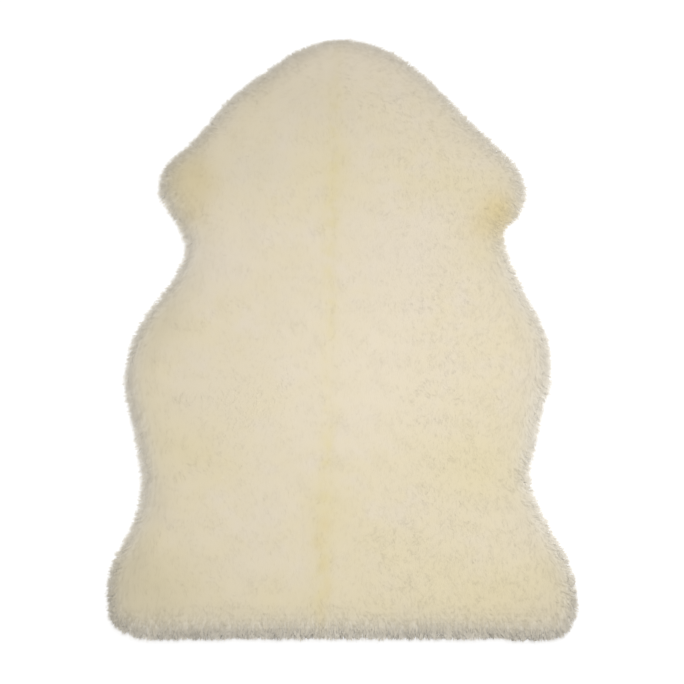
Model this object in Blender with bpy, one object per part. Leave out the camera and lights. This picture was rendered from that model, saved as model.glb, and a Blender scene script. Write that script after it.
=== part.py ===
"""A natural sheepskin rug lying flat, wool side up. Metres, +Z up, the neck towards +Y.

The hide and the wool that grows on it are one piece, so they are one solid: a flat
underside where the hide lies on the floor, a rounded rim where the wool leans out past
the hide's edge, a lumpy top, and locks of wool along the rim.
"""

from collections import namedtuple

import bmesh
import bpy
import numpy as np
from mathutils import Vector
from mathutils.geometry import delaunay_2d_cdt

# Sizes of the skin as it lies
WOOL_HEIGHT = 0.041
LENGTH = 0.950
CROWN_RIGHT_OF_SPINE = 0.018

Section = namedtuple("Section", "place along left right")

# Across the skin: how far along from the rump's edge, and how far the wool's edge is from the spine
SECTIONS = (
    Section("rump edge", 0.001, 0.266, 0.323),
    Section("hind corners", 0.020, 0.306, 0.346),
    Section("hind legs", 0.066, 0.317, 0.352),
    Section("hocks", 0.106, 0.311, 0.344),
    Section("thighs", 0.144, 0.294, 0.327),
    Section("thighs, upper", 0.184, 0.278, 0.306),
    Section("loin", 0.238, 0.273, 0.290),
    Section("belly, rear", 0.298, 0.284, 0.303),
    Section("belly", 0.343, 0.295, 0.313),
    Section("belly, widest", 0.383, 0.302, 0.324),
    Section("ribs", 0.430, 0.297, 0.326),
    Section("ribs, upper", 0.476, 0.281, 0.315),
    Section("chest", 0.518, 0.254, 0.294),
    Section("chest, upper", 0.558, 0.228, 0.278),
    Section("waist", 0.600, 0.218, 0.264),
    Section("armpits", 0.628, 0.227, 0.264),
    Section("forelegs, inner", 0.653, 0.241, 0.286),
    Section("forelegs, widest", 0.690, 0.261, 0.298),
    Section("forelegs, outer", 0.730, 0.253, 0.285),
    Section("shoulders", 0.770, 0.215, 0.251),
    Section("shoulders, upper", 0.811, 0.183, 0.213),
    Section("neck, lower", 0.852, 0.150, 0.178),
    Section("neck", 0.894, 0.099, 0.138),
    Section("neck end", 0.931, 0.050, 0.087),
)
RUMP_EDGE_STEPS = 6

RimStep = namedtuple("RimStep", "inset height")

# Up the rim: how far inside the wool's outline each line round the skin runs, and how high
RIM = (
    RimStep(0.027, 0.000),
    RimStep(0.019, 0.005),
    RimStep(0.013, 0.013),
    RimStep(0.011, 0.022),
    RimStep(0.015, 0.031),
    RimStep(0.024, 0.038),
    RimStep(0.038, WOOL_HEIGHT),
)
RIM_COLUMNS = 240
TURN_SMOOTHING = 3
CURVE_STEPS = 24

# Unevenness of the wool
LATTICE = 64
SWELL_SPACING = 0.13
SWELL_HEIGHT = 0.0030
TUFT_SPACING = 0.044
TUFT_HEIGHT = 0.0045
RIM_LUMP = 0.0022
PARTING_DEPTH = 0.0020
TOP_SPACING = 0.021
TOP_CLEARANCE = 0.012

# Locks along the rim, one to a column, rooted in these strips of the rim by turns
LOCK_STRIPS = (2, 3)
LOCK_LENGTH = 0.0165
LOCK_LENGTH_SPREAD = 0.0060
RUMP_LOCK_EXTRA = 0.0040
RUMP_LOCK_FADE = 0.05
RUMP_LOCK_REACH = 0.007
LOCK_LEAN = 0.35
LOCK_LEAN_SPACING = 0.06
LOCK_STRAY = 0.08
LEAST_HANG = 0.8
MOST_HANG = 1.5
LOWEST_TIP = 0.0025
MOST_OF_HOLLOW = 0.45

Lock = namedtuple("Lock", "length lean hang")
LockStep = namedtuple("LockStep", "share width droop")

# Along a lock: the share of its length, its width against the root's, and how much it droops
LOCK_STEPS = (
    LockStep(0.30, 0.95, 0.30),
    LockStep(0.36, 0.74, 0.75),
)
LOCK_TIP = LockStep(0.34, 0.0, 1.05)

SEED = 41


def clear_scene():
    for thing in list(bpy.data.objects):
        bpy.data.objects.remove(thing, do_unlink=True)


def box_centre():
    """The middle of the skin's box, from its spine and from the rump's edge."""
    widest_left = max(section.left for section in SECTIONS)
    widest_right = max(section.right for section in SECTIONS)
    return np.array([(widest_right - widest_left) / 2, (LENGTH - RUMP_LOCK_REACH) / 2])


def outline_points():
    """The wool's edge as a closed run of points, from the rump's left corner round by the neck."""
    left = [(-section.left, section.along) for section in SECTIONS]
    right = [(section.right, section.along) for section in reversed(SECTIONS)]
    crown = [(CROWN_RIGHT_OF_SPINE, LENGTH)]
    rump = np.linspace(right[-1], left[0], RUMP_EDGE_STEPS + 1)[1:-1]
    rump[:, 1] = 0.0
    return np.array(left + crown + right + rump.tolist()) - box_centre()


def smooth_outline(count):
    """Evenly spaced points on the closed curve through the outline's points.

    Between two points the curve is the cubic whose slope at each is that of the line
    through its two neighbours, with distance along the points as the parameter.
    """
    points = outline_points()
    before, after = np.roll(points, 1, axis=0), np.roll(points, -1, axis=0)
    step = np.linalg.norm(after - points, axis=1)[:, None]
    step_before = np.roll(step, 1, axis=0)
    slope = (after - before) / (step + step_before)
    t = np.linspace(0, 1, CURVE_STEPS, endpoint=False)[:, None, None]
    curve = (
        (1 + 2 * t) * (1 - t) ** 2 * points
        + t * (1 - t) ** 2 * slope * step
        + t**2 * (3 - 2 * t) * after
        - t**2 * (1 - t) * np.roll(slope, -1, axis=0) * step
    )
    curve = curve.transpose(1, 0, 2).reshape(-1, 2)
    closed = np.vstack([curve, curve[:1]])
    run = np.insert(np.cumsum(np.linalg.norm(np.diff(closed, axis=0), axis=1)), 0, 0.0)
    wanted = np.linspace(0, run[-1], count, endpoint=False)
    return np.stack([np.interp(wanted, run, closed[:, axis]) for axis in (0, 1)], axis=1)


def outward(points):
    """Unit directions out of a closed, clockwise run of points, smoothed over their neighbours."""
    ahead = np.roll(points, -1, axis=0) - np.roll(points, 1, axis=0)
    facing = np.stack([-ahead[:, 1], ahead[:, 0]], axis=1)
    reach = range(-TURN_SMOOTHING, TURN_SMOOTHING + 1)
    facing = sum(np.roll(facing, shift, axis=0) for shift in reach)
    return facing / np.linalg.norm(facing, axis=1)[:, None]


def hollowness(points, facing):
    """How sharply the outline turns inwards at each point, in 1/m, and 0 where it bulges."""
    spacing = np.linalg.norm(np.roll(points, -1, axis=0) - points, axis=1)
    turn = np.roll(facing, -1, axis=0) - np.roll(facing, 1, axis=0)
    along = np.roll(points, -1, axis=0) - np.roll(points, 1, axis=0)
    bulge = (turn * along).sum(axis=1) / (2 * spacing) ** 2
    return np.maximum(-bulge, 0.0)


def unevenness(points, spacing, seed):
    """A smooth random surface between -1 and 1: random heights on a square grid, blended between."""
    heights = np.random.default_rng(seed).uniform(-1, 1, (LATTICE, LATTICE))
    cell = points / spacing + LATTICE / 2
    corner = np.floor(cell).astype(int)
    part = cell - corner
    part = part * part * (3 - 2 * part)
    column, row = corner[:, 0], corner[:, 1]
    near = heights[column, row] * (1 - part[:, 0]) + heights[column + 1, row] * part[:, 0]
    far = heights[column, row + 1] * (1 - part[:, 0]) + heights[column + 1, row + 1] * part[:, 0]
    return near * (1 - part[:, 1]) + far * part[:, 1]


def lumps(points):
    """The wool's lumps above its usual height: long swells and the tufts on them."""
    swell = SWELL_HEIGHT * unevenness(points, SWELL_SPACING, SEED)
    tufts = TUFT_HEIGHT * unevenness(points, TUFT_SPACING, SEED + 1)
    return swell + tufts


def rim_rings(outline, facing):
    """The lines round the skin, from the hide's edge on the floor up to the top of the rim."""
    rings = []
    for step in RIM:
        share = step.height / WOOL_HEIGHT
        pushed = RIM_LUMP * share * unevenness(outline, TUFT_SPACING, SEED + 2)
        place = outline + facing * (pushed - step.inset)[:, None]
        height = step.height + share**3 * lumps(place)
        rings.append(np.column_stack([place, height]))
    return rings


def inside(points, ring):
    """Which points lie inside a closed ring, by the times a line from each crosses it."""
    x, y = points[:, 0, None], points[:, 1, None]
    x0, y0 = ring[:, 0], ring[:, 1]
    x1, y1 = np.roll(x0, -1), np.roll(y0, -1)
    spans = (y0 > y) != (y1 > y)
    with np.errstate(divide="ignore", invalid="ignore"):
        crossing = x < (x1 - x0) * (y - y0) / (y1 - y0) + x0
    return (spans & crossing).sum(axis=1) % 2 == 1


def top_points(ring):
    """Staggered points over the top, one column of them on the spine, clear of the rim's ring."""
    spine = -box_centre()[0]
    reach = int(LENGTH / TOP_SPACING)
    steps = np.arange(-reach, reach + 1)
    column, row = (grid.ravel() for grid in np.meshgrid(steps, steps))
    x = spine + column * TOP_SPACING
    y = (row + 0.5 * (column % 2)) * TOP_SPACING
    grid = np.column_stack([x, y])
    gap = np.linalg.norm(grid[:, None] - ring[None, :, :2], axis=2).min(axis=1)
    keep = inside(grid, ring[:, :2]) & (gap > TOP_CLEARANCE)
    place = grid[keep]
    parting = PARTING_DEPTH * (column[keep] == 0)
    return np.column_stack([place, WOOL_HEIGHT + lumps(place) - parting])


def add_rim(bm, rings):
    """Lays strips of four-sided faces between the rings and returns the strips, lowest first."""
    rows = [[bm.verts.new(point) for point in ring] for ring in rings]
    strips = []
    for low, high in zip(rows, rows[1:]):
        around = range(len(low))
        strips.append(
            [bm.faces.new((low[i - 1], high[i - 1], high[i], low[i])) for i in around]
        )
    bm.faces.new(rows[0])
    return rows, strips


def add_top(bm, ring_verts, ring):
    """Closes the top with triangles between the rim's last ring and the points over the top."""
    loose = top_points(ring)
    flat = [Vector(point[:2]) for point in np.vstack([ring, loose])]
    triangles = delaunay_2d_cdt(flat, [], [list(range(len(ring)))], 1, 1e-6)[2]
    verts = list(ring_verts) + [bm.verts.new(point) for point in loose]
    for triangle in triangles:
        bm.faces.new([verts[i] for i in triangle])


def plan_locks(outline, facing, draw):
    """The size and lie of the lock in each column.

    Locks are longer along the rump's edge, and shorter where the outline turns in and
    they would meet. Each leans along the rim much as its neighbours do.
    """
    columns = len(outline)
    rump = np.exp(-(((outline[:, 1] + box_centre()[1]) / RUMP_LOCK_FADE) ** 2))
    length = LOCK_LENGTH + RUMP_LOCK_EXTRA * rump
    length = length + LOCK_LENGTH_SPREAD * draw.uniform(-1, 1, columns)
    hollow = hollowness(outline, facing)
    length = np.where(hollow > 0, np.minimum(length, MOST_OF_HOLLOW / (hollow + 1e-6)), length)
    lean = LOCK_LEAN * unevenness(outline, LOCK_LEAN_SPACING, SEED + 4)
    lean = lean + LOCK_STRAY * draw.uniform(-1, 1, columns)
    hang = draw.uniform(LEAST_HANG, MOST_HANG, columns)
    return [Lock(*row) for row in np.column_stack([length, lean, hang]).tolist()]


def grow_locks(bm, number, roots, locks):
    """Draws each root face out into a four-sided lock that leans, hangs and tapers to a point."""
    bm.normal_update()
    facings = [root.normal.copy() for root in roots]
    for i, root in enumerate(roots):
        root[number] = i

    def along_lock(i, step):
        sideways = facings[i].cross(Vector((0, 0, 1))).normalized()
        down = Vector((0, 0, -step.droop * locks[i].hang))
        heading = facings[i] + locks[i].lean * sideways + down
        return heading.normalized() * locks[i].length * step.share

    ends, width = roots, 1.0
    for step in LOCK_STEPS:
        ends = bmesh.ops.extrude_discrete_faces(bm, faces=ends)["faces"]
        for end in ends:
            centre = end.calc_center_median()
            moved = centre + along_lock(end[number], step)
            for vert in end.verts:
                vert.co = moved + (vert.co - centre) * step.width / width
                vert.co.z = max(vert.co.z, LOWEST_TIP)
        width = step.width
    for tip in bmesh.ops.poke(bm, faces=ends)["verts"]:
        tip.co += along_lock(tip.link_faces[0][number], LOCK_TIP)
        tip.co.z = max(tip.co.z, LOWEST_TIP)


def wool_material():
    """Undyed ivory wool: matt, a little yellow."""
    material = bpy.data.materials.new("wool")
    material.use_nodes = True
    shader = material.node_tree.nodes["Principled BSDF"]
    shader.inputs["Base Color"].default_value = (0.76, 0.69, 0.52, 1)
    shader.inputs["Roughness"].default_value = 0.95
    shader.inputs["Metallic"].default_value = 0.0
    return material


def make_sheepskin():
    """The hide with its wool, as one closed solid."""
    draw = np.random.default_rng(SEED + 3)
    outline = smooth_outline(RIM_COLUMNS)
    facing = outward(outline)
    rings = rim_rings(outline, facing)

    bm = bmesh.new()
    number = bm.faces.layers.int.new("lock")
    rows, strips = add_rim(bm, rings)
    add_top(bm, rows[-1], rings[-1])
    bmesh.ops.recalc_face_normals(bm, faces=bm.faces[:])

    roots = [strips[LOCK_STRIPS[i % len(LOCK_STRIPS)]][i] for i in range(RIM_COLUMNS)]
    grow_locks(bm, number, roots, plan_locks(outline, facing, draw))

    mesh = bpy.data.meshes.new("sheepskin")
    bm.to_mesh(mesh)
    bm.free()
    mesh.shade_smooth()
    mesh.materials.append(wool_material())
    skin = bpy.data.objects.new("sheepskin", mesh)
    bpy.context.scene.collection.objects.link(skin)
    return skin


clear_scene()
make_sheepskin()
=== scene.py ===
"""The looks of a natural sheepskin rug, wool side up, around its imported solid.

Metres, +Z up, the neck towards +Y and the spine at a small negative x, as in the solid.
"""

import math
from collections import namedtuple

import bpy
import numpy as np
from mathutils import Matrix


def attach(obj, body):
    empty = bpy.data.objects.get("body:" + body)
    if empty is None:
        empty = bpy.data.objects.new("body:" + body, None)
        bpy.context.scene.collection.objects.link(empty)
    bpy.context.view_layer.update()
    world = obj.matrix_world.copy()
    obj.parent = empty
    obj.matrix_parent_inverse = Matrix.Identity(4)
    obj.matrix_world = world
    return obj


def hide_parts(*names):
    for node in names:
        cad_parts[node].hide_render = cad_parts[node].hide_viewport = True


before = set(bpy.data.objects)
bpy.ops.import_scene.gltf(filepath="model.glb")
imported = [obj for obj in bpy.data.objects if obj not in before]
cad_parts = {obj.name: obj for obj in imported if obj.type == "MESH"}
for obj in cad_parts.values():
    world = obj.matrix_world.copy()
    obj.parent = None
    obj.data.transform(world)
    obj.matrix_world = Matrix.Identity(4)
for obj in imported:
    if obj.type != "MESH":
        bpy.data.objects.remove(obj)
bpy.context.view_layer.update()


# The hide: the skin of the whole animal, tanned, shaved to an even thickness on its flesh
# side and trimmed with a knife. It lies flat on the floor, suede side down, under its wool.

LENGTH = 0.950
CROWN_RIGHT_OF_SPINE = 0.018
RUMP_LOCK_REACH = 0.007
HIDE_INSET = 0.027
HIDE_THICKNESS = 0.0022
HIDE_EDGE_ROUND = 0.0004
HIDE_TRIM_WOBBLE = 0.0012
HIDE_TRIM_SPACING = 0.018
RUMP_EDGE_STEPS = 6
AROUND = 480
CURVE_STEPS = 24
TURN_SMOOTHING = 6
LATTICE = 256
SEED = 41

SUEDE_TAN = (0.56, 0.43, 0.29, 1)
SUEDE_PALE = (0.68, 0.55, 0.39, 1)
SUEDE_NAP = (0.78, 0.67, 0.50, 1)
NAP_SHARE = 0.25
BLOTCH_RELIEF = 0.8
SUEDE_RELIEF = 0.0006

Section = namedtuple("Section", "place along left right")

# Across the skin: how far along it is from the rump's edge, and how far out from the spine
# the wool's edge is on the left and on the right
SECTIONS = (
    Section("rump edge", 0.001, 0.266, 0.323),
    Section("hind corners", 0.020, 0.306, 0.346),
    Section("hind legs", 0.066, 0.317, 0.352),
    Section("hocks", 0.106, 0.311, 0.344),
    Section("thighs", 0.144, 0.294, 0.327),
    Section("thighs, upper", 0.184, 0.278, 0.306),
    Section("loin", 0.238, 0.273, 0.290),
    Section("belly, rear", 0.298, 0.284, 0.303),
    Section("belly", 0.343, 0.295, 0.313),
    Section("belly, widest", 0.383, 0.302, 0.324),
    Section("ribs", 0.430, 0.297, 0.326),
    Section("ribs, upper", 0.476, 0.281, 0.315),
    Section("chest", 0.518, 0.254, 0.294),
    Section("chest, upper", 0.558, 0.228, 0.278),
    Section("waist", 0.600, 0.218, 0.264),
    Section("armpits", 0.628, 0.227, 0.264),
    Section("forelegs, inner", 0.653, 0.241, 0.286),
    Section("forelegs, widest", 0.690, 0.261, 0.298),
    Section("forelegs, outer", 0.730, 0.253, 0.285),
    Section("shoulders", 0.770, 0.215, 0.251),
    Section("shoulders, upper", 0.811, 0.183, 0.213),
    Section("neck, lower", 0.852, 0.150, 0.178),
    Section("neck", 0.894, 0.099, 0.138),
    Section("neck end", 0.931, 0.050, 0.087),
)
SPINE = -(max(s.right for s in SECTIONS) - max(s.left for s in SECTIONS)) / 2
RUMP = -(LENGTH - RUMP_LOCK_REACH) / 2


def wool_outline(count):
    """Evenly spaced points on the wool's edge, clockwise from the rump's left corner.

    Between two points of the sections the curve is the cubic whose slope at each is that of
    the line through its two neighbours, with distance along the points as the parameter.
    """
    left = [(SPINE - s.left, RUMP + s.along) for s in SECTIONS]
    right = [(SPINE + s.right, RUMP + s.along) for s in reversed(SECTIONS)]
    crown = [(SPINE + CROWN_RIGHT_OF_SPINE, RUMP + LENGTH)]
    rump = np.linspace(right[-1], left[0], RUMP_EDGE_STEPS + 1)[1:-1]
    rump[:, 1] = RUMP
    points = np.array(left + crown + right + rump.tolist())
    before, after = np.roll(points, 1, axis=0), np.roll(points, -1, axis=0)
    step = np.linalg.norm(after - points, axis=1)[:, None]
    slope = (after - before) / (step + np.roll(step, 1, axis=0))
    t = np.linspace(0, 1, CURVE_STEPS, endpoint=False)[:, None, None]
    curve = (
        (1 + 2 * t) * (1 - t) ** 2 * points
        + t * (1 - t) ** 2 * slope * step
        + t**2 * (3 - 2 * t) * after
        - t**2 * (1 - t) * np.roll(slope, -1, axis=0) * step
    )
    curve = curve.transpose(1, 0, 2).reshape(-1, 2)
    closed = np.vstack([curve, curve[:1]])
    run = np.insert(np.cumsum(np.linalg.norm(np.diff(closed, axis=0), axis=1)), 0, 0.0)
    wanted = np.linspace(0, run[-1], count, endpoint=False)
    return np.stack([np.interp(wanted, run, closed[:, axis]) for axis in (0, 1)], axis=1)


def outward(points):
    """Unit directions out of a closed, clockwise run of points, averaged over their neighbours."""
    ahead = np.roll(points, -1, axis=0) - np.roll(points, 1, axis=0)
    facing = np.stack([-ahead[:, 1], ahead[:, 0]], axis=1)
    reach = range(-TURN_SMOOTHING, TURN_SMOOTHING + 1)
    facing = sum(np.roll(facing, shift, axis=0) for shift in reach)
    return facing / np.linalg.norm(facing, axis=1)[:, None]


def unevenness(points, spacing, seed):
    """A smooth random surface between -1 and 1, as blended random heights on a square grid."""
    heights = np.random.default_rng(seed).uniform(-1, 1, (LATTICE, LATTICE))
    cell = points / spacing + LATTICE / 2
    corner = np.floor(cell).astype(int)
    part = cell - corner
    part = part * part * (3 - 2 * part)
    column, row = corner[:, 0] % (LATTICE - 1), corner[:, 1] % (LATTICE - 1)
    near = heights[column, row] * (1 - part[:, 0]) + heights[column + 1, row] * part[:, 0]
    far = heights[column, row + 1] * (1 - part[:, 0]) + heights[column + 1, row + 1] * part[:, 0]
    return near * (1 - part[:, 1]) + far * part[:, 1]


def closed_rings(name, rings):
    """A closed surface through a stack of rings, with a point in the middle of each end.

    Place i on ring r is one point; faces join neighbours along a ring and from ring to ring.
    """
    levels, around = rings.shape[:2]
    ends = np.stack([rings[0].mean(axis=0), rings[-1].mean(axis=0)])
    points = np.vstack([rings.reshape(-1, 3), ends])
    here = np.arange(levels * around).reshape(levels, around)
    there = np.roll(here, -1, axis=1)
    walls = np.stack([here[:-1], here[1:], there[1:], there[:-1]], axis=-1).reshape(-1, 4)
    first, last = levels * around, levels * around + 1
    under = np.stack([np.full(around, first), here[0], there[0]], axis=-1)
    over = np.stack([np.full(around, last), there[-1], here[-1]], axis=-1)
    mesh = bpy.data.meshes.new(name)
    mesh.from_pydata(points.tolist(), [], walls.tolist() + under.tolist() + over.tolist())
    mesh.shade_smooth()
    piece = bpy.data.objects.new(name, mesh)
    bpy.context.scene.collection.objects.link(piece)
    return piece


class Value:
    """A socket of a finish's nodes. Arithmetic on it adds a Math node and gives its result."""

    def __init__(self, finish, socket):
        self.finish, self.socket = finish, socket

    def reckon(self, operation, *sides):
        return self.finish.add("ShaderNodeMath", {"operation": operation}, dict(enumerate(sides)))

    def __add__(self, other):
        return self.reckon("ADD", self, other)

    def __sub__(self, other):
        return self.reckon("SUBTRACT", self, other)

    def __rsub__(self, other):
        return self.reckon("SUBTRACT", other, self)

    def __mul__(self, other):
        return self.reckon("MULTIPLY", self, other)

    def __truediv__(self, other):
        return self.reckon("DIVIDE", self, other)

    def __pow__(self, other):
        return self.reckon("POWER", self, other)

    def __neg__(self):
        return self.reckon("MULTIPLY", self, -1.0)

    def exp(self):
        return self.reckon("EXPONENT", self)

    def between(self, low, high):
        """0 below low, 1 above high, and an even slope between them."""
        ends = {"Value": self, "From Min": low, "From Max": high}
        return self.finish.add("ShaderNodeMapRange", {"clamp": True}, ends)

    __radd__ = __add__
    __rmul__ = __mul__


class Finish:
    """A material around one Principled shader, whose plain sockets are set by name."""

    def __init__(self, name, **plain):
        self.material = bpy.data.materials.new(name)
        self.material.use_nodes = True
        self.tree = self.material.node_tree
        self.shader = self.tree.nodes["Principled BSDF"]
        for socket, value in plain.items():
            self.shader.inputs[socket.replace("_", " ")].default_value = value

    def add(self, kind, settings, inputs, result=0):
        """Adds a node, sets its settings, and then gives each socket a number, colour or Value."""
        node = self.tree.nodes.new(kind)
        for name, value in settings.items():
            setattr(node, name, value)
        for socket, value in inputs.items():
            if isinstance(value, Value):
                self.tree.links.new(value.socket, node.inputs[socket])
            else:
                node.inputs[socket].default_value = value
        return Value(self, node.outputs[result])

    def place(self):
        """The point on the piece, in the frame's own metres."""
        return self.add("ShaderNodeTexCoord", {}, {}, "Object")

    def axes(self, point):
        """The three numbers of a point."""
        parts = self.add("ShaderNodeSeparateXYZ", {}, {0: point}).socket.node.outputs
        return [Value(self, part) for part in parts]

    def cloud(self, point, kind):
        """Smooth noise of this kind, most of it between 0.3 and 0.7."""
        inputs = {"Vector": point, "Scale": kind.lumps}
        inputs.update({"Detail": kind.detail, "Roughness": kind.roughness})
        return self.add("ShaderNodeTexNoise", {}, inputs, "Fac")

    def mix(self, share, one, other):
        """The colour that is this share of the way from one to the other."""
        return self.add("ShaderNodeMix", {"data_type": "RGBA"}, {0: share, 6: one, 7: other}, 2)

    def feed(self, socket, value):
        self.tree.links.new(value.socket, self.shader.inputs[socket])

    def bump(self, height, distance):
        """Raises the surface by this height, in units of the distance."""
        inputs = {"Height": height, "Distance": distance, "Strength": 1.0}
        self.feed("Normal", self.add("ShaderNodeBump", {}, inputs))


Cloud = namedtuple("Cloud", "lumps detail roughness limits", defaults=[None])

# Noise over a finish: lumps to the metre, how fine and how rough its detail is, and the
# limits between which it fades from none to all
SUEDE_BLOTCHES = Cloud(14.0, 4.0, 0.6, (0.30, 0.70))
SUEDE_FIBRES = Cloud(900.0, 2.0, 0.6, (0.35, 0.75))


def suede():
    """Tanned flesh side: pale tan, mottled, with a short even nap whose tips are paler."""
    finish = Finish("hide", Roughness=0.92, Specular_IOR_Level=0.2)
    place = finish.place()
    blotches = finish.cloud(place, SUEDE_BLOTCHES).between(*SUEDE_BLOTCHES.limits)
    nap = finish.cloud(place, SUEDE_FIBRES)
    tan = finish.mix(blotches, SUEDE_TAN, SUEDE_PALE)
    tips = nap.between(*SUEDE_FIBRES.limits) * NAP_SHARE
    finish.feed("Base Color", finish.mix(tips, tan, SUEDE_NAP))
    finish.bump(nap + blotches * BLOTCH_RELIEF, SUEDE_RELIEF)
    return finish.material


def flat_area(ring):
    """The area inside a closed ring of points."""
    x, y = ring[:, 0], ring[:, 1]
    return abs(np.sum(x * np.roll(y, -1) - np.roll(x, -1) * y)) / 2


outline = wool_outline(AROUND)
facing = outward(outline)
trim_wobble = HIDE_TRIM_WOBBLE * unevenness(outline, HIDE_TRIM_SPACING, SEED + 11)
hide_edge = outline + facing * (trim_wobble - HIDE_INSET)[:, None]

HideStep = namedtuple("HideStep", "share height")

# Over the hide from the middle of its underside, round its edge and over its top: the share
# of the way out to its edge, and how high
HIDE_STEPS = (
    HideStep(0.25, 0.0),
    HideStep(0.60, 0.0),
    HideStep(0.90, 0.0),
    HideStep(0.998, 0.0),
    HideStep(1.0, HIDE_EDGE_ROUND),
    HideStep(1.0, HIDE_THICKNESS - HIDE_EDGE_ROUND),
    HideStep(0.998, HIDE_THICKNESS),
    HideStep(0.90, HIDE_THICKNESS),
    HideStep(0.60, HIDE_THICKNESS),
    HideStep(0.25, HIDE_THICKNESS),
)
hide_rings = np.stack(
    [np.column_stack([hide_edge * s.share, np.full(AROUND, s.height)]) for s in HIDE_STEPS]
)
hide = closed_rings("hide", hide_rings)
hide.data.materials.append(suede())
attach(hide, "root")
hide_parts("sheepskin")


# The fleece: the dense wool that grows on the hide, combed and sheared to one height, so
# close that it reads as a soft skin. It fills the hide's outline and bulges out past it.

SWELL_SPACING = 0.13
SWELL_HEIGHT = 0.0012
TUFT_SPACING = 0.030
TUFT_HEIGHT = 0.0009
CURL_SPACING = 0.0075
CURL_HEIGHT = 0.00010
UNCRIMPED_CURLS = 0.5
RIM_LUMP = 0.0016
RIM_LUMP_FADE = 0.02
RIM_FADE = 0.036
PARTING_HALF_WIDTH = 0.006
PARTING_SINK = 0.0004
FLEECE_START = 0.5
ACROSS_STEPS = 90
FAR_INSIDE = 0.1

# Where the wool is crimped, across the skin, and how much further left it is at both ends
CRIMP_START = 0.03
CRIMP_RUN = 0.14
CRIMP_SWAY = 0.03
CRIMP_SWAY_SPACING = 0.06
CRIMP_SHIFT = 0.07
CRIMP_SHIFT_FROM = 0.22
CRIMP_SHIFT_RUN = 0.10

RimStep = namedtuple("RimStep", "inset height")

# Up the fleece's rim: how far inside the wool's outline it runs, and how high
FLEECE_RIM = (
    RimStep(0.0270, 0.0022),
    RimStep(0.0205, 0.0034),
    RimStep(0.0145, 0.0062),
    RimStep(0.0100, 0.0105),
    RimStep(0.0075, 0.0160),
    RimStep(0.0070, 0.0215),
    RimStep(0.0090, 0.0270),
    RimStep(0.0130, 0.0318),
    RimStep(0.0190, 0.0355),
    RimStep(0.0265, 0.0380),
    RimStep(0.0350, 0.0393),
    RimStep(0.0440, 0.0398),
)
FLEECE_TOP = FLEECE_RIM[-1].height

# The wool's colours, and where each of the finish's changes is and how strong
WOOL_CREAM = (0.840, 0.750, 0.580, 1)
WOOL_WARM = (0.840, 0.745, 0.540, 1)
WOOL_ROSY = (0.845, 0.755, 0.620, 1)
WOOL_YELLOW = (0.820, 0.720, 0.450, 1)
WOOL_STAIN = (0.800, 0.670, 0.380, 1)
# Duller wool towards the rim, partly painted shade of the rim turning from the light
WOOL_EDGE_AND_SHADE = (0.775, 0.700, 0.545, 1)
# Duller wool, partly painted shade on the side away from the lamp and round the hind corners
WOOL_DULL_AND_SHADE = (0.690, 0.615, 0.430, 1)
# Painted light: a paler pool in the middle of the skin, where the light falls most
WOOL_BRIGHT_PAINTED_LIGHT = (0.880, 0.785, 0.610, 1)
# Painted light: the rim's wool is paler, standing in for light that comes through it
WOOL_RIM_PAINTED_LIGHT = (0.995, 0.942, 0.840, 1)
# Painted shade: the dark of shaded locks towards the floor and between their clumps
WOOL_PAINTED_SHADE = (0.300, 0.280, 0.240, 1)

# How narrow the rim's painted light is, and the painted shade of the locks: the heights over which
# it fades out, and how dark
RIM_NARROW = 4.0
SHADED_HEIGHTS = (0.012, 0.034)
SHADED = 0.90
SPINE_LEAN = 0.022
SPINE_HALF_WIDTH = 0.0130
SPINE_WANDER = 0.030
SPINE_LEAST = 0.3
ROSY_SHARE = 0.8
CLOUD_MIDDLE = 0.5
WARM_PLACES = Cloud(13.0, 3.0, 0.6, (0.36, 0.64))
ROSY_PLACES = Cloud(19.0, 3.0, 0.6, (0.50, 0.72))
SPINE_DRIFT = Cloud(8.0, 3.0, 0.5)
SPINE_SPOTS = Cloud(45.0, 2.0, 0.6, (0.40, 0.66))
CURLS = Cloud(520.0, 3.0, 0.6)
CURLS_STRETCH = (1.0, 0.4, 1.0)
CURLS_START = (0.01, 0.12)
CURLS_LEAST = 0.2
CURLS_RELIEF = 0.0004

Patch = namedtuple("Patch", "place x y width length strength colour")
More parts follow.
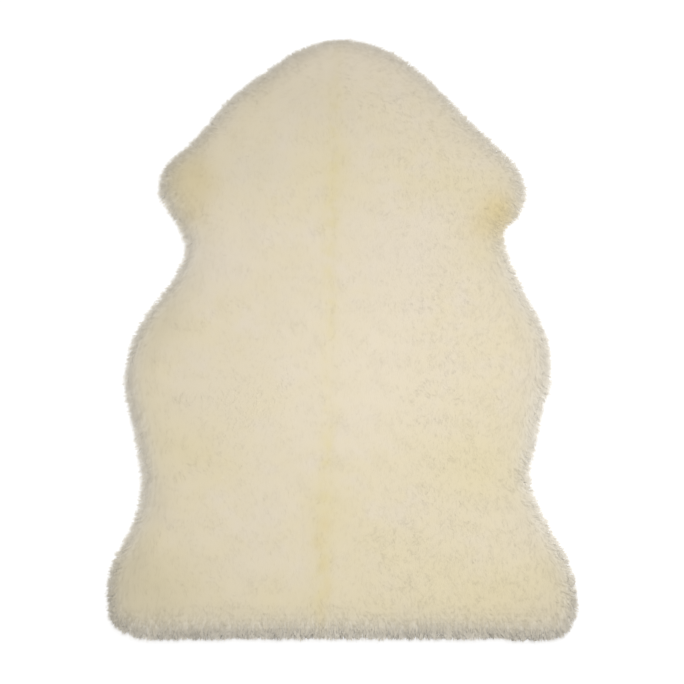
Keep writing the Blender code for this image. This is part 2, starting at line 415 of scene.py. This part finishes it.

# Where the wool is rosier, yellower, brighter or duller: brighter as a painted pool of light,
# duller as dull wool and partly painted shade, mostly on the left, away from the lamp, and round
# the hind corners; the middle of each patch, and how far it takes to fade across and along the skin
PATCHES = (
    Patch("saddle, right", 0.085, 0.110, 0.085, 0.070, 0.70, WOOL_ROSY),
    Patch("waist, left", -0.190, 0.105, 0.060, 0.050, 0.50, WOOL_ROSY),
    Patch("neck", 0.010, 0.425, 0.120, 0.060, 0.60, WOOL_ROSY),
    Patch("back, right", 0.070, -0.050, 0.060, 0.090, 0.45, WOOL_ROSY),
    Patch("withers", -0.012, 0.238, 0.042, 0.055, 0.50, WOOL_YELLOW),
    Patch("croup", -0.022, -0.290, 0.040, 0.050, 0.50, WOOL_YELLOW),
    Patch("rump, right of the spine", 0.060, -0.345, 0.110, 0.045, 0.40, WOOL_YELLOW),
    Patch("hind leg, right", 0.250, -0.385, 0.100, 0.045, 0.40, WOOL_YELLOW),
    Patch("hind leg, left", -0.255, -0.370, 0.070, 0.055, 0.40, WOOL_YELLOW),
    Patch("flank, left", -0.215, -0.205, 0.075, 0.055, 0.50, WOOL_YELLOW),
    Patch("belly, left", -0.270, -0.110, 0.050, 0.100, 0.25, WOOL_YELLOW),
    Patch("rump", 0.020, -0.425, 0.330, 0.040, 0.35, WOOL_YELLOW),
    Patch("flank, right", 0.200, -0.225, 0.100, 0.070, 0.55, WOOL_YELLOW),
    Patch("shoulder, right", 0.185, 0.215, 0.060, 0.045, 0.30, WOOL_YELLOW),
    # Painted light: the loin's pool of light
    Patch("loin", 0.030, -0.085, 0.120, 0.110, 0.55, WOOL_BRIGHT_PAINTED_LIGHT),
    Patch("ribs, left", -0.262, 0.028, 0.035, 0.050, 0.45, WOOL_DULL_AND_SHADE),
    Patch("belly, left, upper", -0.280, -0.020, 0.035, 0.045, 0.35, WOOL_DULL_AND_SHADE),
    Patch("thigh, left", -0.285, -0.283, 0.030, 0.040, 0.35, WOOL_DULL_AND_SHADE),
    Patch("hock, right", 0.312, -0.375, 0.030, 0.030, 0.35, WOOL_DULL_AND_SHADE),
    Patch("waist, left, edge", -0.228, 0.078, 0.035, 0.045, 0.50, WOOL_EDGE_AND_SHADE),
    Patch("shoulder, left", -0.125, 0.255, 0.050, 0.045, 0.55, WOOL_EDGE_AND_SHADE),
    Patch("hock, left", -0.300, -0.366, 0.028, 0.035, 0.60, WOOL_DULL_AND_SHADE),
    Patch("hind corner, left", -0.290, -0.415, 0.085, 0.055, 0.50, WOOL_DULL_AND_SHADE),
    Patch("hind corner, right", 0.290, -0.430, 0.050, 0.030, 0.25, WOOL_DULL_AND_SHADE),
    Patch("neck, left", -0.060, 0.370, 0.110, 0.070, 0.25, WOOL_DULL_AND_SHADE),
    Patch("foreleg, left, outer", -0.245, 0.250, 0.048, 0.045, 0.60, WOOL_DULL_AND_SHADE),
    Patch("foreleg, left, rim", -0.256, 0.205, 0.016, 0.040, 0.55, WOOL_DULL_AND_SHADE),
)

# Stains and spots, and a few duller patches that are partly painted shade, which also lie over
# the rim's paler wool of painted light
STAINS = (
    Patch("foreleg, left", -0.221, 0.222, 0.030, 0.040, 0.65, WOOL_STAIN),
    Patch("foreleg, left, below", -0.224, 0.180, 0.022, 0.028, 0.35, WOOL_STAIN),
    Patch("foreleg, left, inner", -0.222, 0.212, 0.035, 0.035, 0.30, WOOL_DULL_AND_SHADE),
    Patch("hind leg, left, edge", -0.315, -0.390, 0.012, 0.050, 0.30, WOOL_DULL_AND_SHADE),
    Patch("hind leg, right, low", 0.220, -0.434, 0.050, 0.030, 0.18, WOOL_STAIN),
    Patch("foreleg, right", 0.235, 0.180, 0.029, 0.030, 0.90, WOOL_STAIN),
    Patch("foreleg, right, below", 0.215, 0.150, 0.030, 0.028, 0.60, WOOL_STAIN),
    Patch("waist, right", 0.205, 0.105, 0.030, 0.022, 0.45, WOOL_YELLOW),
    Patch("spot on the croup", -0.0235, -0.312, 0.008, 0.012, 0.50, WOOL_STAIN),
    Patch("spot on the croup", -0.0330, -0.337, 0.009, 0.014, 0.45, WOOL_STAIN),
    Patch("spot over the tail", -0.0260, -0.370, 0.007, 0.010, 0.35, WOOL_STAIN),
    Patch("streak over the tail", -0.0195, -0.405, 0.006, 0.022, 0.40, WOOL_STAIN),
    Patch("streak over the tail", -0.0290, -0.440, 0.007, 0.022, 0.35, WOOL_STAIN),
)


def crimp(places):
    """How crimped the wool is, from 0 on the left of the skin to 1 on its right.

    The change is a smooth step across the skin, uneven along it and further left at both ends.
    """
    ends = CRIMP_SHIFT * np.clip((np.abs(places[:, 1]) - CRIMP_SHIFT_FROM) / CRIMP_SHIFT_RUN, 0, 1)
    sway = CRIMP_SWAY * unevenness(places, CRIMP_SWAY_SPACING, SEED + 5)
    across = np.clip((places[:, 0] - CRIMP_START + ends + sway) / CRIMP_RUN, 0, 1)
    return across * across * (3 - 2 * across)


def relief(places):
    """How far the fleece stands above its usual height: swells, tufts and curls, less the parting.

    The parting sinks as a bell curve of the distance from the spine.
    """
    aside = (places[:, 0] - SPINE) / PARTING_HALF_WIDTH
    curls = unevenness(places, CURL_SPACING, SEED + 2)
    curls = CURL_HEIGHT * (UNCRIMPED_CURLS + crimp(places)) * curls
    swells = SWELL_HEIGHT * unevenness(places, SWELL_SPACING, SEED)
    tufts = TUFT_HEIGHT * unevenness(places, TUFT_SPACING, SEED + 1)
    return swells + tufts + curls - PARTING_SINK * np.exp(-(aside**2))


def fleece_rings():
    """The fleece as rings of points, and how far inside the outline each point is.

    It starts on the hide, goes up the rim, and then from the rim's last ring straight in
    towards the middle. The relief fades in with the cube of the height, and the rim's lumps
    fade out exponentially on the way in.
    """
    rim = [outline - facing * step.inset for step in FLEECE_RIM]
    share = np.linspace(0, 1, ACROSS_STEPS, endpoint=False)[1:, None, None]
    plan = np.concatenate([hide_edge[None] * FLEECE_START, np.stack(rim), rim[-1] * (1 - share)])
    height = np.array([HIDE_THICKNESS] + [step.height for step in FLEECE_RIM])
    height = np.append(height, np.full(ACROSS_STEPS - 1, FLEECE_TOP))
    inset = ((outline - plan) * facing).sum(axis=2)
    rise = (height / FLEECE_TOP)[:, None] ** 3 * relief(plan.reshape(-1, 2)).reshape(inset.shape)
    lumps = RIM_LUMP * np.clip(height / FLEECE_TOP, 0, 1)[:, None] * np.exp(-inset / RIM_LUMP_FADE)
    lumps = lumps * unevenness(plan.reshape(-1, 2), TUFT_SPACING, SEED + 3).reshape(inset.shape)
    plan = plan + facing * lumps[..., None]
    return np.concatenate([plan, (height[:, None] + rise)[..., None]], axis=2), inset


def unit(vectors):
    """The vectors, each with a length of 1."""
    return vectors / np.linalg.norm(vectors, axis=-1, keepdims=True)


def grid_facing(rings):
    """The unit direction out of a surface of rings at each of its points.

    It is at right angles to the lines to the neighbours along the ring and from ring to ring.
    """
    along = np.roll(rings, -1, axis=1) - np.roll(rings, 1, axis=1)
    onward = np.gradient(rings, axis=0)
    return unit(np.cross(onward, along))


def edge_fade(inset, fade):
    """1 at the wool's edge, fading to 0 further in over the skin, as a bell curve."""
    return np.exp(-((np.maximum(inset, 0) / fade) ** 2))


def keep(mesh, name, value):
    """Stores a number for each point of a mesh, for the finish to read."""
    mesh.attributes.new(name, "FLOAT", "POINT").data.foreach_set("value", value.astype(np.float32))


def with_patches(finish, colour, patches, x, y):
    """The colour with each patch mixed in, as a bell curve of the distance from its middle."""
    for patch in patches:
        away = ((x - patch.x) / patch.width) ** 2.0 + ((y - patch.y) / patch.length) ** 2.0
        colour = finish.mix((-away).exp() * patch.strength, colour, patch.colour)
    return colour


def wool_finish(name, curled):
    """Undyed ivory wool: cream, with yellower and rosier patches, a yellow spine and stains.

    The small patches are clouds, and the spine line is a bell curve across the skin. Towards
    the rim the wool is duller and darker, partly as painted shade of the rim turning from the
    light, and round the rim itself it is paler, as painted light standing in for light that
    comes through the wool, with the stains over it. Where a lock is shaded, painted shade
    darkens it evenly towards the floor. Curled wool has fine curls, drawn out along the skin.
    """
    finish = Finish(name, Roughness=0.95, Specular_IOR_Level=0.15)
    place = finish.place()
    x, y, z = finish.axes(place)
    warm = finish.cloud(place, WARM_PLACES).between(*WARM_PLACES.limits)
    rosy = finish.cloud(place, ROSY_PLACES).between(*ROSY_PLACES.limits)
    colour = finish.mix(warm, WOOL_CREAM, WOOL_WARM)
    colour = finish.mix(rosy * ROSY_SHARE, colour, WOOL_ROSY)
    wander = (finish.cloud(place, SPINE_DRIFT) - CLOUD_MIDDLE) * SPINE_WANDER
    beside = (x - SPINE - y * SPINE_LEAN + wander) / SPINE_HALF_WIDTH
    spots = finish.cloud(place, SPINE_SPOTS).between(*SPINE_SPOTS.limits)
    spots = spots * (1 - SPINE_LEAST) + SPINE_LEAST
    colour = finish.mix((-(beside**2.0)).exp() * spots, colour, WOOL_YELLOW)
    rim = finish.add("ShaderNodeAttribute", {"attribute_name": "rim"}, {}, "Fac")
    # Duller and darker towards the rim: partly painted shade of the rim turning from the light
    colour = finish.mix(rim, colour, WOOL_EDGE_AND_SHADE)
    colour = with_patches(finish, colour, PATCHES, x, y)
    # Painted light: paler round the rim itself, for light coming through the wool
    colour = finish.mix(rim**RIM_NARROW, colour, WOOL_RIM_PAINTED_LIGHT)
    colour = with_patches(finish, colour, STAINS, x, y)
    # Painted shade: shaded locks grow darker towards the floor
    shade = finish.add("ShaderNodeAttribute", {"attribute_name": "shade"}, {}, "Fac")
    low = 1.0 - z.between(*SHADED_HEIGHTS)
    colour = finish.mix(shade * low * SHADED, colour, WOOL_PAINTED_SHADE)
    finish.feed("Base Color", colour)
    if curled:
        stretched = finish.add("ShaderNodeMapping", {}, {"Vector": place, "Scale": CURLS_STRETCH})
        crimped = x.between(*CURLS_START) * (1 - CURLS_LEAST) + CURLS_LEAST
        finish.bump(finish.cloud(stretched, CURLS) * crimped, CURLS_RELIEF)
    return finish.material


rings, ring_inset = fleece_rings()
ring_facing = grid_facing(rings)
fleece = closed_rings("fleece", rings)
fleece_inset = np.append(ring_inset, [FAR_INSIDE, FAR_INSIDE])
# The rim's share, by which the finish paints the rim's shade and light
keep(fleece.data, "rim", edge_fade(fleece_inset, RIM_FADE))
fleece.data.materials.append(wool_finish("fleece wool", curled=True))
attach(fleece, "root")
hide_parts("sheepskin")


# The outer wool: the ends of the locks, which lie over the fleece, combed towards the rump,
# and stand out from the rim. It is made in areas of the skin, as it is combed.

LOCKS = 145000
WALL_EXTRA = 0.6
LOCK_SIDES = 3
PAST_THE_SKIN = 2.0

# Steps by powers of 0.75488, which keep pairs of numbers evenly spread however many there are
EVEN_STEPS = (0.7548776662466927, 0.5698402909980532)

# Where the wool of the rump, of the neck and of an edge starts and how far it takes to change
RUMP_REACH = 0.030
RUMP_FADE = 0.110
NECK_START = 0.10
NECK_RUN = 0.25
RIM_OUT_FADE = 0.024
NECK_OUT_FADE = 0.085
RUMP_EDGE_LIT = 0.40
RUMP_EDGE_SHARE = 0.96

# The sizes of the locks
ROOT_DEPTH = 0.0004
LOCK_LENGTH = 0.0085
SHOULDER_LOCK_LENGTH = 0.0130
RIM_LOCK_LENGTH = 0.0100
LENGTH_SPREAD = 0.25
RIM_LENGTH_SPREAD = 0.36
RUMP_LENGTH_SPREAD = 0.15
SPREAD_LIMITS = (-2, 2)
RIM_TUFT_SPREAD = 0.12
RUMP_TUFT_SPREAD = 0.16
LOCK_HALF_WIDTH = 0.00045
RIM_HALF_WIDTH = 0.00026
RUMP_HALF_WIDTH = 0.00036
WIDTH_RANGE = (0.7, 1.3)
RIDGE_SHARE = 0.30
LOWEST_WOOL = 0.0006
LOW_TIP_SPREAD = 0.002

# How far they rise, as a share of their length
LOCK_RISE = 0.045
CRIMPED_RISE = 0.055
RIM_RISE = 0.55
STRAY_RISE = 0.0115
CRIMPED_STRAY_RISE = 0.0165
RIM_STRAY_RISE = 0.10
FIRST_HALF_RISE = 1.5
SECOND_HALF_RISE = 0.5

# Which way they lie
SWIRL = 0.6
SWIRL_SPACING = 0.055
WAVE = 0.35
WAVE_CRIMPED = 0.80
WAVE_SPACING = 0.0080
STRAY = 0.30
RIM_DROOP = 0.30
RIM_SWAY = 0.32
RUMP_SWAY = 0.80
RIM_SWAY_SPACING = 0.0055
RIM_STRAY = 0.28
PARTING_WANDER = 0.016
PARTING_SPACING = 0.035
PARTING_STRAY = 0.010
LEAST_ABOUT_TURN = 2.2

# How they take light and shade
SOFTNESS = 0.85
ROOT_LEAN = 0.2
TIP_LEAN = 0.5
TIP_LIFT = 4.0
RUMP_TIP_LIFT = 3.4
NECK_TIP_LIFT = 2.0
LOCK_SHADE = 0.35
SIDE_SHADE = 0.36
SHADE_SPACING = 0.0060


def spread_over(rings, density, grids, count):
    """Places over a surface of rings, and the value of each grid there.

    A cell is picked in proportion to its area times its density, and a place in it by two
    numbers between 0 and 1, each of which goes on by an even step from lock to lock.
    """
    s, t = (np.outer(np.arange(1, count + 1), EVEN_STEPS) % 1.0).T
    low, high = rings[:-1], rings[1:]
    low_next, high_next = np.roll(low, -1, axis=1), np.roll(high, -1, axis=1)
    area = np.linalg.norm(np.cross(high_next - low, high - low_next), axis=2) / 2
    run = np.insert(np.cumsum((area * density[:-1]).ravel()), 0, 0.0)
    pick = (np.arange(count) + 0.5) / count * run[-1]
    cell = np.searchsorted(run, pick, side="right") - 1
    level, column = np.divmod(cell, rings.shape[1])
    onward = (column + 1) % rings.shape[1]

    def blend(grid):
        part_s, part_t = s[:, None], t[:, None]
        near = grid[level, column] * (1 - part_s) + grid[level, onward] * part_s
        far = grid[level + 1, column] * (1 - part_s) + grid[level + 1, onward] * part_s
        return near * (1 - part_t) + far * part_t

    return [blend(grid) for grid in [rings, *grids]]


def turned(directions, angles):
    """Plan directions, each turned by its own angle."""
    x, y = directions.T
    return np.column_stack(
        [x * np.cos(angles) - y * np.sin(angles), x * np.sin(angles) + y * np.cos(angles)]
    )


def part_way(share, start, end):
    """The number that is this share of the way from the start to the end."""
    return start + (end - start) * share


# The places where locks grow: the point on the skin in plan, the way up from the fleece, the way
# out of the skin and how far inside the wool's edge it is; and, each from 0 to 1, how near the rim,
# how far off the rump, how far up the neck, how steep and how crimped the wool is there
Places = namedtuple("Places", "plan upward out inset near_rim off_rump at_neck steep crimped")


def growing_places(count):
    """The locks' roots, spread evenly over the fleece but closer on its walls, and their places."""
    visible = slice(1, None)
    way_out = np.broadcast_to(np.append(facing, np.zeros((AROUND, 1)), axis=1), rings.shape)
    grids = [ring_facing[visible], way_out[visible], ring_inset[visible, :, None]]
    density = 1 + WALL_EXTRA * np.clip(1 - ring_facing[visible, :, 2], 0, 1)
    roots, upward, out, inset = spread_over(rings[visible], density, grids, count)
    upward, inset, plan = unit(upward), inset[:, 0], roots[:, :2]
    return roots, Places(
        plan=plan,
        upward=upward,
        out=out,
        inset=inset,
        near_rim=edge_fade(inset, RIM_OUT_FADE),
        off_rump=np.clip((plan[:, 1] - RUMP - RUMP_REACH) / RUMP_FADE, 0, 1),
        at_neck=np.clip((plan[:, 1] - NECK_START) / NECK_RUN, 0, 1),
        steep=np.clip(1 - upward[:, 2], 0, 1) ** 2,
        crimped=crimp(plan),
    )


def lock_lay(places, draw):
    """The direction in which each lock lies.

    Over the top it is the way the wool is combed, towards the rump, turned by swirls, by waves
    from curl to curl and by chance. Towards the rim it is turned the way out, from further in
    at the neck, where the wool parts along a wandering line over the spine. At the rim it sways
    and droops, and where the rim isn't steep it stays along the fleece.
    """
    plan, out, count = places.plan, places.out, len(places.plan)
    waves = part_way(places.crimped, WAVE, WAVE_CRIMPED)
    angle = SWIRL * unevenness(plan, SWIRL_SPACING, SEED + 31)
    angle = angle + waves * unevenness(plan, WAVE_SPACING, SEED + 32)
    angle = angle + STRAY * draw.normal(size=count)
    sway = part_way(places.off_rump, RUMP_SWAY, RIM_SWAY)
    sway = sway * unevenness(plan, RIM_SWAY_SPACING, SEED + 33)
    sway = sway + RIM_STRAY * draw.normal(size=count)

    turn = np.arctan2(out[:, 0], -out[:, 1])
    by_spine = plan[:, 0] - SPINE + PARTING_WANDER * unevenness(plan, PARTING_SPACING, SEED + 35)
    rightward = by_spine + PARTING_STRAY * draw.normal(size=count) > 0
    about = (np.abs(turn) > LEAST_ABOUT_TURN) & (rightward != (turn > 0))
    turn = np.where(about, turn - 2 * np.pi * np.sign(turn), turn)
    turn = turn * edge_fade(places.inset, part_way(places.at_neck, RIM_OUT_FADE, NECK_OUT_FADE))

    comb = turned(np.tile([0.0, -1.0], (count, 1)), turn + angle * (1 - places.near_rim))
    along = np.column_stack([out[:, 1], -out[:, 0], np.zeros(count)])
    lay = np.append(comb, np.zeros((count, 1)), axis=1)
    at_rim = along * sway[:, None] - [0, 0, RIM_DROOP]
    lay = unit(lay + at_rim * places.near_rim[:, None])
    upright = places.upward * (lay * places.upward).sum(axis=1)[:, None]
    return unit(lay - upright * (1 - places.steep)[:, None])


def lock_rise(places, draw):
    """How far each lock rises for its length: more where crimped, and most where steep."""
    rise = part_way(places.crimped, LOCK_RISE, CRIMPED_RISE)
    stray = part_way(places.crimped, STRAY_RISE, CRIMPED_STRAY_RISE)
    stray = part_way(places.steep, stray, RIM_STRAY_RISE)
    return part_way(places.steep, rise, RIM_RISE) + stray * draw.normal(size=len(rise))


def lock_length(places, draw):
    """How long each lock is: longest on the rim's shoulder, and uneven by chance and tuft."""
    length = part_way(places.near_rim, LOCK_LENGTH, SHOULDER_LOCK_LENGTH)
    length = part_way(places.steep, length, RIM_LOCK_LENGTH)
    spread = part_way(places.off_rump, RUMP_LENGTH_SPREAD, RIM_LENGTH_SPREAD)
    spread = part_way(places.steep, LENGTH_SPREAD, spread)
    length = length * (1 + spread * draw.normal(size=len(length)).clip(*SPREAD_LIMITS))
    tufts = part_way(places.off_rump, RUMP_TUFT_SPREAD, RIM_TUFT_SPREAD) * places.near_rim
    return length * (1 + tufts * unevenness(places.plan, WAVE_SPACING, SEED + 34))


def lock_half_width(places, draw):
    """Half of each lock's width: narrower where the rim is steep, and uneven by chance."""
    at_rim = part_way(places.off_rump, RUMP_HALF_WIDTH, RIM_HALF_WIDTH)
    half_width = part_way(places.steep, LOCK_HALF_WIDTH, at_rim)
    return half_width * draw.uniform(*WIDTH_RANGE, len(half_width))


def lock_light(places):
    """The side of each lock that takes the light: the fleece's, tipped up where it is steep."""
    lift = part_way(places.off_rump, RUMP_TIP_LIFT, TIP_LIFT) * places.steep
    lift = lift + NECK_TIP_LIFT * places.at_neck**2 * (1 - places.upward[:, 2])
    return unit(places.upward + np.array([0, 0, 1.0]) * lift[:, None])


def lock_shade(places, draw):
    """How much painted shade each lock has, in clumps and by chance: most where the rim faces past
    the rump.
    """
    shade = unevenness(places.plan, SHADE_SPACING, SEED + 36)
    shade = np.clip(shade + LOCK_SHADE * draw.normal(size=len(shade)), 0, 1)
    return shade * part_way(np.clip(-places.out[:, 1], 0, 1), SIDE_SHADE, 1)


def wool_locks(count):
    """What locks_mesh needs for each lock, and which locks are at an edge.

    A lock starts a little under the fleece and goes the way it lies, plus its rise times the
    way up from the fleece. Its second half lies lower than its first. Nothing is under the
    lowest wool.
    """
    draw = np.random.default_rng(SEED + 41)
    roots, places = growing_places(count)
    lay = lock_lay(places, draw)
    rise = lock_rise(places, draw)
    length = lock_length(places, draw)
    first = unit(lay + places.upward * (rise * FIRST_HALF_RISE)[:, None]) * (length / 2)[:, None]
    second = unit(lay + places.upward * (rise * SECOND_HALF_RISE)[:, None]) * (length / 2)[:, None]
    roots = roots - places.upward * ROOT_DEPTH
    middles = roots + first
    tips = middles + second
    half_width = lock_half_width(places, draw)
    roots[:, 2] = np.maximum(roots[:, 2], LOWEST_WOOL)
    middles[:, 2] = np.maximum(middles[:, 2], LOWEST_WOOL + half_width)
    tips[:, 2] = np.maximum(tips[:, 2], LOWEST_WOOL + draw.uniform(0, LOW_TIP_SPREAD, count))
    lit = lock_light(places)
    edge_chance = places.near_rim * part_way(places.off_rump, RUMP_EDGE_LIT, 1.0)
    at_edge = draw.uniform(size=count) < edge_chance
    rim = edge_fade(places.inset, RIM_FADE) * part_way(places.off_rump, RUMP_EDGE_SHARE, 1.0)
    shade = lock_shade(places, draw)
    return (roots, middles, tips, half_width, lit, rim, shade), at_edge


def locks_mesh(name, roots, middles, tips, half_width, lit, rim, shade):
    """Joined locks, each with a point at its root, three round its middle and one at its tip.

    Two of the three are a half width to either side of the middle, and the third is over it,
    a ridge's height up. Their normals are nearly those of the lit side, so that light spreads
    softly.
    """
    count = len(roots)
    axis = unit(tips - roots)
    side = unit(np.cross(axis, lit))
    over = np.cross(side, axis)
    spoke = np.stack([side, -side, over * RIDGE_SHARE], axis=1)
    waist = middles[:, None] + spoke * half_width[:, None, None]
    points = np.concatenate([roots[:, None], waist, tips[:, None]], axis=1)
    first = np.arange(count)[:, None, None] * (LOCK_SIDES + 2)
    ring = np.arange(LOCK_SIDES)
    onward = (ring + 1) % LOCK_SIDES
    low = np.stack([np.zeros(LOCK_SIDES, int), onward + 1, ring + 1], axis=1)
    high = np.stack([np.full(LOCK_SIDES, LOCK_SIDES + 1), ring + 1, onward + 1], axis=1)
    faces = (first + np.concatenate([low, high])).reshape(-1, 3)

    mesh = bpy.data.meshes.new(name)
    mesh.vertices.add(points.shape[0] * points.shape[1])
    mesh.vertices.foreach_set("co", points.ravel())
    mesh.loops.add(faces.size)
    mesh.loops.foreach_set("vertex_index", faces.ravel())
    mesh.polygons.add(len(faces))
    mesh.polygons.foreach_set("loop_start", np.arange(0, faces.size, 3))
    mesh.update(calc_edges=True)
    mesh.shade_smooth()
    keep(mesh, "rim", np.repeat(rim, LOCK_SIDES + 2))
    keep(mesh, "shade", np.repeat(shade, LOCK_SIDES + 2))

    plan = points.reshape(-1, 3)[:, :2]
    spread = (plan - plan.min(axis=0)) / (plan.max(axis=0) - plan.min(axis=0))
    mesh.uv_layers.new(name="OFBake").data.foreach_set("uv", spread[faces.ravel()].ravel())

    own = np.concatenate([axis[:, None] * ROOT_LEAN, spoke, axis[:, None] * TIP_LEAN], axis=1)
    soft = unit(own * (1 - SOFTNESS) + lit[:, None] * SOFTNESS)
    mesh.normals_split_custom_set_from_vertices(soft.reshape(-1, 3).tolist())

    piece = bpy.data.objects.new(name, mesh)
    bpy.context.scene.collection.objects.link(piece)
    return piece


Area = namedtuple("Area", "name start end edge")

# Areas of the skin: the wool over it by how far along from the rump's edge, and the wool of
# its two edges, which lets light through to what lies under it, by where it is across
AREAS = (
    Area("wool_rump", -PAST_THE_SKIN, 0.105, False),
    Area("wool_thighs", 0.105, 0.255, False),
    Area("wool_loin", 0.255, 0.410, False),
    Area("wool_back", 0.410, 0.590, False),
    Area("wool_neck", 0.590, PAST_THE_SKIN, False),
    Area("wool_left_edge", -PAST_THE_SKIN, SPINE, True),
    Area("wool_right_edge", SPINE, PAST_THE_SKIN, True),
)

locks, at_edge = wool_locks(LOCKS)
along_skin, across_skin = locks[0][:, 1] - RUMP, locks[0][:, 0]
wool = wool_finish("wool", curled=False)
for area in AREAS:
    place = across_skin if area.edge else along_skin
    chosen = (at_edge == area.edge) & (place >= area.start) & (place < area.end)
    piece = locks_mesh(area.name, *[part[chosen] for part in locks])
    piece.data.materials.append(wool)
    piece.visible_shadow = not area.edge
    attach(piece, "root")
    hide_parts("sheepskin")

flat_area(hide_edge)


# The studio: a white floor, one soft light over the right of the skin and even light all
# round, and a camera at 70 degrees above the floor, looking from beyond the rump to the neck.

FLOOR_HALF_SIZE = 6.0
FLOOR_DEPTH = 0.0002
WHITE = (1.0, 1.0, 1.0, 1)
LIGHT_PLACE = (0.22, -0.10, 1.2)
LIGHT_TARGET = (0.20, -0.10, 0.0)
LIGHT_SIZE = 0.7
LIGHT_WATTS = 7.4
EVEN_LIGHT = 0.47
VIEW_ELEVATION = math.radians(70)
VIEW_DISTANCE = 3.2
VIEW_TARGET = (0.0005, -0.0185, 0.0)
VIEW_LENS = 112.7
SENSOR_WIDTH = 36.0

floor_mesh = bpy.data.meshes.new("floor")
corners = [(-1, -1), (1, -1), (1, 1), (-1, 1)]
floor_points = [(FLOOR_HALF_SIZE * x, FLOOR_HALF_SIZE * y, -FLOOR_DEPTH) for x, y in corners]
floor_mesh.from_pydata(floor_points, [], [(0, 1, 2, 3)])
floor = bpy.data.objects.new("floor", floor_mesh)
bpy.context.scene.collection.objects.link(floor)
paper = Finish(
    "paper",
    Base_Color=(0.45, 0.45, 0.45, 1),
    Roughness=1.0,
    Specular_IOR_Level=0.0,
    Emission_Color=WHITE,
    Emission_Strength=0.80,
)
floor_mesh.materials.append(paper.material)


def aim(thing, at):
    """Turns a light or the camera from straight down, first up and then round, to a point."""
    way = np.array(at) - np.array(thing.location)
    tip = math.atan2(math.hypot(way[0], way[1]), -way[2])
    thing.rotation_euler = (tip, 0.0, math.atan2(way[1], way[0]) - math.pi / 2)


light = bpy.data.lights.new("key", "AREA")
light.shape = "SQUARE"
light.size = LIGHT_SIZE
light.energy = LIGHT_WATTS
lamp = bpy.data.objects.new("key", light)
lamp.location = LIGHT_PLACE
aim(lamp, LIGHT_TARGET)
bpy.context.scene.collection.objects.link(lamp)
lamp.visible_camera = False

world = bpy.data.worlds.new("studio")
world.use_nodes = True
world.node_tree.nodes["Background"].inputs["Color"].default_value = WHITE
world.node_tree.nodes["Background"].inputs["Strength"].default_value = EVEN_LIGHT
bpy.context.scene.world = world
bpy.context.scene.view_settings.view_transform = "Standard"

lens = bpy.data.cameras.new("camera")
lens.sensor_width = SENSOR_WIDTH
lens.lens = VIEW_LENS
camera = bpy.data.objects.new("camera", lens)
camera.location = (
    VIEW_TARGET[0],
    VIEW_TARGET[1] - VIEW_DISTANCE * math.cos(VIEW_ELEVATION),
    VIEW_DISTANCE * math.sin(VIEW_ELEVATION),
)
aim(camera, VIEW_TARGET)
bpy.context.scene.collection.objects.link(camera)
bpy.context.scene.camera = camera
